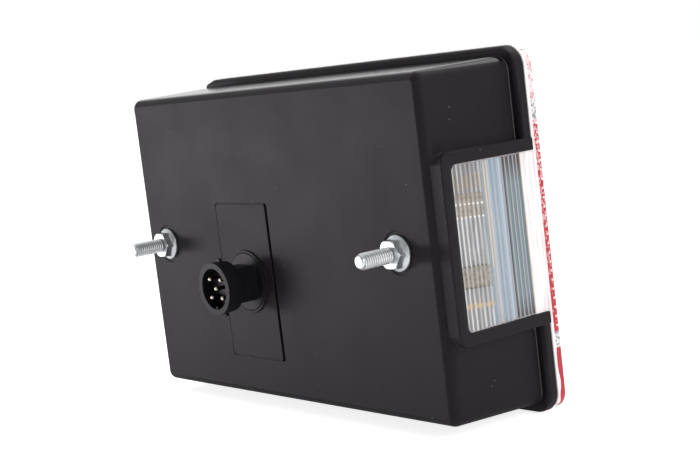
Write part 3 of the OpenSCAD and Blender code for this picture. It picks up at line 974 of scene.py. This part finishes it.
@dataclass
class Housing:
    """The black moulding, with rounded flange, frame and back."""

    node: str = "housing"
    back_rounding: float = 0.35 * MM
    flange_rounding: float = 1.8 * MM
    frame_rounding: float = 0.65 * MM
    flange_rear: float = -42.7
    flange_low_x: float = -99.0
    flange_high_x: float = 95.6
    flange_high_z: float = 65.8
    frame_x: float = -101.3
    frame_half: float = 31.5
    frame_rear: float = -4.0

    def build(self) -> Pieces:
        """Builds and dresses the moulding.

        Returns:
            Its pieces.
        """
        form = Form.of_node(self.node)
        form.soften(form.sharp_edges(self._on_flange_rim, 60.0), self.flange_rounding, 5)
        form.soften(form.sharp_edges(self._on_frame, 60.0), self.frame_rounding, 4)
        form.soften(form.sharp_edges(on_back, 60.0), self.back_rounding)
        return [form.piece("housing_moulding", PALETTE.of(Slot.HOUSING), Slot.HOUSING, self.node)]

    def _on_flange_rim(self, point: Vector) -> bool:
        """Whether a point lies on the flange's rear outline."""
        inner = self.flange_low_x <= point.x <= self.flange_high_x and abs(point.z) <= self.flange_high_z
        return not inner and abs(point.y - self.flange_rear) < TOUCH

    def _on_frame(self, point: Vector) -> bool:
        """Whether a point lies on the window frame's outer outline."""
        outer = abs(point.z) > self.frame_half or point.y > self.frame_rear
        return outer and abs(point.x - self.frame_x) < TOUCH


@dataclass
class RearInsert:
    """The plate let into the back and the round plug connector with its five contacts."""

    collar_x: float = 18.8
    collar_z: float = -14.7
    key_width: float = 1.1
    key_depth: float = 1.0
    key_rounding: float = 0.15 * MM
    key_root: float = 0.3
    socket_radius: float = 8.2
    mouth_y: float = 16.9
    floor_y: float = 12.5
    flash_top: float = -0.1
    flash_depth: float = 0.5
    gap_sides: tuple[tuple[float, float, float, float], ...] = (
        (35.85, 36.15, -44.8, 15.6), (2.2, 34.6, 16.85, 17.15), (2.2, 34.6, -46.55, -46.25))
    pins: tuple[str, ...] = ("centre", "top_inner", "top_outer", "bottom_inner", "bottom_outer")

    def build(self) -> Pieces:
        """Builds the plate, the connector and the contacts.

        Returns:
            Their pieces.
        """
        made = [
            finished("connector_plate", Slot.INSERT, 0.3 * MM, 60.0, on_back),
            finished("connector_body", Slot.CONNECTOR, 0.22 * MM, 60.0, lambda point: point.y > 0.3),
            finished("contact_block", Slot.CONNECTOR),
            self._key(),
            self._flash(),
        ]
        made += [finished("pin_" + pin, Slot.CONTACT, 0.12 * MM, 40.0) for pin in self.pins]
        return made

    def _flash(self) -> bpy.types.Object:
        """The thin skin of plastic left just below the surface on three sides of the plate's gap.

        Returns:
            The piece.
        """
        form = Form()
        for low_x, high_x, low_z, high_z in self.gap_sides:
            form.block((low_x, self.flash_top - self.flash_depth, low_z), (high_x, self.flash_top, high_z))
        return form.piece("plate_flash", PALETTE.of(Slot.INSERT), Slot.INSERT)

    def _key(self) -> bpy.types.Object:
        """The small rib at the bottom of the collar's inside.

        Returns:
            The piece.
        """
        form = Form()
        wall = self.collar_z - self.socket_radius
        form.block((self.collar_x - self.key_width / 2, self.floor_y, wall - self.key_root),
                   (self.collar_x + self.key_width / 2, self.mouth_y, wall + self.key_depth))
        form.soften(form.mesh.edges[:], self.key_rounding)
        return form.piece("connector_key", PALETTE.of(Slot.CONNECTOR), Slot.CONNECTOR)


@dataclass
class Stud:
    """One threaded stud with its flange nut."""

    side: str
    x: float
    z: float = STUD_Z
    radius: float = 3.0
    root: float = 2.42
    pitch: float = 1.0
    free_from: float = 4.9
    tip: float = 18.4
    lead_in: float = 1.3
    tip_radius: float = 1.75
    shoulder_radius: float = 2.9
    steps: int = 32
    nut_wear: float = 0.22 * MM

    def build(self) -> Pieces:
        """Builds the threaded stud and the nut.

        Returns:
            Their pieces.
        """
        return [self._stud(), finished("nut_" + self.side, Slot.ZINC, self.nut_wear, 25.0)]

    def _stud(self) -> bpy.types.Object:
        """The stud with a real thread on its free end.

        Returns:
            The piece.
        """
        node = "stud_" + self.side
        form = Form.of_node(node)
        form.cut(self.free_from, 1.0)
        form.fill()
        form.join(self._thread())
        return form.piece(node + "_thread", PALETTE.named("zinc_thread", THREAD), Slot.ZINC, node, sharp=50.0)

    def _thread(self) -> Form:
        """The helical thread: one groove and crest wound round the stud's axis and cut off at both ends.

        Returns:
            The thread's form.
        """
        wind = Form()
        step = self.pitch / 8
        start = self.free_from - self.pitch
        outline = ((self.root, 0.0), (self.root, 1.0), (self.radius, 3.5), (self.radius, 4.5),
                   (self.root, 7.0), (self.root, 8.0))
        line = [wind.mesh.verts.new(Vector((radius, start + at * step, 0.0)) * MM) for radius, at in outline]
        edges = [wind.mesh.edges.new(pair) for pair in zip(line, line[1:])]
        turns = math.ceil((self.tip - start) / self.pitch) + 1
        bmesh.ops.spin(wind.mesh, geom=line + edges, cent=(0.0, 0.0, 0.0), axis=(0.0, 1.0, 0.0),
                       dvec=(0.0, self.pitch * MM / self.steps, 0.0), angle=math.tau * turns,
                       steps=self.steps * turns, use_merge=False, use_duplicate=False)
        wind.merge(2e-6)
        wind.cut(self.tip, 1.0)
        wind.cut(self.free_from, -1.0)
        wind.fill()
        wind.face_out()
        for vert in wind.mesh.verts:
            self._draw_in(vert)
        wind.move(Vector((self.x, 0.0, self.z)), wind.mesh.verts[:])
        return wind

    def _draw_in(self, vert: bmesh.types.BMVert) -> None:
        """Draws a point of the thread in to the rounded lead-in at the tip.

        Args:
            vert: The point.
        """
        outward = Vector((vert.co.x, 0.0, vert.co.z))
        depth = (self.tip * MM - vert.co.y) / MM
        share = math.sqrt(max(0.0, min(1.0, depth / self.lead_in)))
        allowed = (self.tip_radius + (self.shoulder_radius - self.tip_radius) * share) * MM
        if depth < self.lead_in and outward.length > allowed:
            outward = outward.normalized() * allowed
            vert.co.x, vert.co.z = outward.x, outward.z


@dataclass
class Lens:
    """The clear rim with its ribbed window, the coloured fields, and the reflex reflector."""

    reflector: str = "reflex_reflector"
    cuts: int = 15
    prism_depth: float = 0.45 * MM

    def build(self) -> Pieces:
        """Builds and dresses the lens.

        Returns:
            Its pieces.
        """
        clear = PALETTE.named("rim_clear", Rim())
        rim = Form.of_node("lens_rim").piece("lens_rim_moulding", clear, Slot.CLEAR, "lens_rim")
        fields = [finished("lens_stop", Slot.RED), finished("lens_reverse", Slot.CLEAR),
                  finished("lens_indicator", Slot.AMBER), finished("lens_end", Slot.RED)]
        return [rim, *fields, self._reflector()]

    def _reflector(self) -> bpy.types.Object:
        """The reflector's plate with its front drawn into small three-sided prisms.

        Returns:
            The piece.
        """
        form = Form.of_node(self.reflector)
        edges = list({edge for face in self._front(form) for edge in face.edges})
        bmesh.ops.subdivide_edges(form.mesh, edges=edges, cuts=self.cuts, use_grid_fill=True)
        bmesh.ops.poke(form.mesh, faces=self._front(form), offset=-self.prism_depth,
                       center_mode="MEAN_WEIGHTED")
        material = PALETTE.of(Slot.REFLECTOR)
        return form.piece("reflector_prisms", material, Slot.REFLECTOR, self.reflector, sharp=15.0)

    def _front(self, form: Form) -> list[bmesh.types.BMFace]:
        """Faces of the reflector's front."""
        low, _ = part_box(self.reflector)
        return [face for face in form.mesh.faces
                if face.normal.y < -0.9 and abs(face.calc_center_median().y - low.y) < TOUCH * MM / 2]


@dataclass
class Inside:
    """The carrier with its strips and sockets, and the bulbs with their filaments."""

    bulbs: tuple[tuple[str, float], ...] = (("stop", -68.6), ("reverse", -19.5), ("indicator", 21.5))
    bulb_y: float = -38.55
    glass_z: float = 4.2
    coil_half: float = 3.0
    coil_radius: float = 0.7
    coil_turns: int = 9
    coil_steps: int = 12
    wire_radius: float = 0.14
    post_length: float = 15.0
    post_drop: float = 6.9
    post_foot: float = 0.25
    post_head: float = 0.2

    def build(self) -> Pieces:
        """Builds and dresses what lies behind the lens.

        Returns:
            Its pieces.
        """
        made = [finished("carrier", Slot.CARRIER)]
        for name, x in self.bulbs:
            made.append(finished(f"bulb_{name}_cap", Slot.CAP))
            made.append(finished(f"bulb_{name}_glass", Slot.BULB))
            made.append(self._works(name, x))
        return made

    def _works(self, name: str, x: float) -> bpy.types.Object:
        """A bulb's filament with its two supports.

        Args:
            name: The bulb.
            x: Its place along X in millimetres.

        Returns:
            The piece.
        """
        form = Form()
        middle = Vector((x, self.bulb_y, self.glass_z))
        wire = bmesh.ops.create_circle(form.mesh, segments=6, radius=self.wire_radius * MM)["verts"]
        upright = Matrix.Rotation(math.radians(90), 3, "X")
        bmesh.ops.rotate(form.mesh, cent=(0, 0, 0), matrix=upright, verts=wire)
        form.move(middle + Vector((-self.coil_half, 0.0, self.coil_radius)), wire)
        steps = self.coil_turns * self.coil_steps
        bmesh.ops.spin(form.mesh, geom=wire + form.mesh.edges[:], cent=middle * MM, axis=(1.0, 0.0, 0.0),
                       dvec=(2 * self.coil_half * MM / steps, 0.0, 0.0), angle=math.tau * self.coil_turns,
                       steps=steps, use_duplicate=False)
        for end in (-self.coil_half, self.coil_half):
            post = bmesh.ops.create_cone(form.mesh, cap_ends=True, segments=8, radius1=self.post_foot * MM,
                                         radius2=self.post_head * MM, depth=self.post_length * MM)["verts"]
            form.move(middle + Vector((end, 0.0, -self.post_drop)), post)
        form.merge()
        form.face_out()
        return form.piece(f"bulb_{name}_works", PALETTE.of(Slot.CAP), Slot.CAP)


@dataclass(frozen=True)
class Softbox:
    """A rectangular soft lamp that looks at the middle of the lamp; its size is in metres."""

    name: str
    place: Point
    width: float
    height: float
    power: float

    def build(self) -> None:
        """Adds it to the scene."""
        data = bpy.data.lights.new(self.name, "AREA")
        data.shape, data.size, data.size_y, data.energy = "RECTANGLE", self.width, self.height, self.power
        lamp = in_scene(self.name, data)
        lamp.location = self.place
        lamp.rotation_euler = (-Vector(self.place)).to_track_quat("-Z", "Y").to_euler()


@dataclass
class Studio:
    """A plain pale floor, a white backdrop, soft lamps and the camera."""

    camera_at: Point = (-0.45919, 0.32582, 0.06814)
    right: Point = (-0.62964, -0.76768, -0.11903)
    up: Point = (0.01672, -0.16664, 0.98585)
    look: Point = (0.77667, -0.61876, -0.11778)
    focal: float = 73.956
    floor_z: float = -67.5 * MM
    floor_drop: float = 0.1 * MM
    floor_size: float = 6.0
    floor_glow: float = 0.82
    floor_in_gloss: float = 0.25
    bright_towards: Point = (0.66, -0.60, 0.42)
    dim_at: float = -0.05
    white_at: float = 0.85
    dim: float = 0.29
    white: float = 1.05
    boxes: tuple[Softbox, ...] = (
        Softbox("left_box", (0.76, 0.66, 0.0), 0.4, 0.12, 3.0),
        Softbox("top_box", (-0.1, -0.42, 0.85), 0.6, 0.6, 2.2),
        Softbox("right_box", (-0.9, -0.08, 0.4), 0.4, 0.4, 3.0))

    def build(self) -> None:
        """Sets up the camera, the world, the lamps and the floor."""
        self._camera()
        self._world()
        for box in self.boxes:
            box.build()
        self._floor()

    def _camera(self) -> None:
        """Places the camera where the photograph was taken from."""
        data = bpy.data.cameras.new("camera")
        data.lens, data.clip_start = self.focal, 0.01
        camera = in_scene("camera", data)
        turn = Matrix((self.right, self.up, tuple(-part for part in self.look))).transposed()
        camera.matrix_world = Matrix.Translation(self.camera_at) @ turn.to_4x4()
        bpy.context.scene.camera = camera

    def _world(self) -> None:
        """White to the camera, and round the lamp light on the backdrop's side and dimmer elsewhere."""
        world = bpy.data.worlds.new("studio")
        bpy.context.scene.world = world
        graph = Graph(world)
        bright = Vector(self.bright_towards).normalized()
        facing = graph.node("VectorMath", {"operation": "DOT_PRODUCT"},
                            {0: graph.node("TexCoord", output="Generated"), 1: bright}, "Value")
        light = graph.node("MapRange", {"interpolation_type": "SMOOTHSTEP"},
                           {0: facing, 1: self.dim_at, 2: self.white_at, 3: self.dim, 4: self.white})
        strength = graph.node("Mix", {}, {0: graph.ray("Camera"), 2: light, 3: 1.0})
        graph.finish(graph.node("Background", {}, {"Color": WHITE, "Strength": strength}))

    def _floor(self) -> None:
        """A pale floor that looks white and keeps the shadow."""
        graph = Graph.of_material("floor_pale")
        tone = graph.mix(graph.noise(0.4, 2.0), (0.88, 0.88, 0.88), (0.92, 0.92, 0.92))
        diffuse = graph.node("BsdfDiffuse", {}, {"Color": tone})
        glow = graph.node("Emission", {}, {"Color": WHITE, "Strength": self.floor_glow})
        nothing = graph.node("Emission", {}, {"Strength": 0.0})
        seen = graph.ray("Camera") + graph.ray("Glossy") * self.floor_in_gloss + graph.ray("Transmission")
        extra = graph.blend(seen.capped(), nothing, glow)
        form = Form()
        bmesh.ops.create_grid(form.mesh, x_segments=2, y_segments=2, size=self.floor_size)
        form.move(Vector((0.0, 0.0, (self.floor_z - self.floor_drop) / MM)), form.mesh.verts[:])
        data = form.data("floor")
        data.materials.append(graph.finish(graph.node("AddShader", {}, {0: diffuse, 1: extra})))
        in_scene("floor", data)


def dress_nodes() -> int:
    """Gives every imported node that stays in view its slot's finish.

    Returns:
        How many nodes were dressed.
    """
    slots = {part["node"]: part["material_slot"] for part in frame["record"]["subparts"]}
    shown = {name: node for name, node in frame["nodes"].items() if not node.hide_render}
    for name, node in shown.items():
        for holder in node.material_slots:
            holder.material = PALETTE.of(Slot(slots[name]))
    return len(shown)


def main() -> None:
    """Builds every sub-assembly in order and reports each piece."""
    logging.basicConfig(level=logging.INFO, format="%(message)s")
    bpy.context.scene.view_settings.view_transform = "Standard"
    for part in (Housing(), RearInsert(), Stud("inner", -STUD_X), Stud("outer", STUD_X), Lens(), Inside()):
        for made in part.build():
            log.info("%s: %s, %d faces", type(part).__name__, made.name, len(made.data.polygons))
    log.info("nodes dressed as packed: %d", dress_nodes())
    Studio().build()
    bpy.context.view_layer.update()


if __name__ == "__main__":
    main()
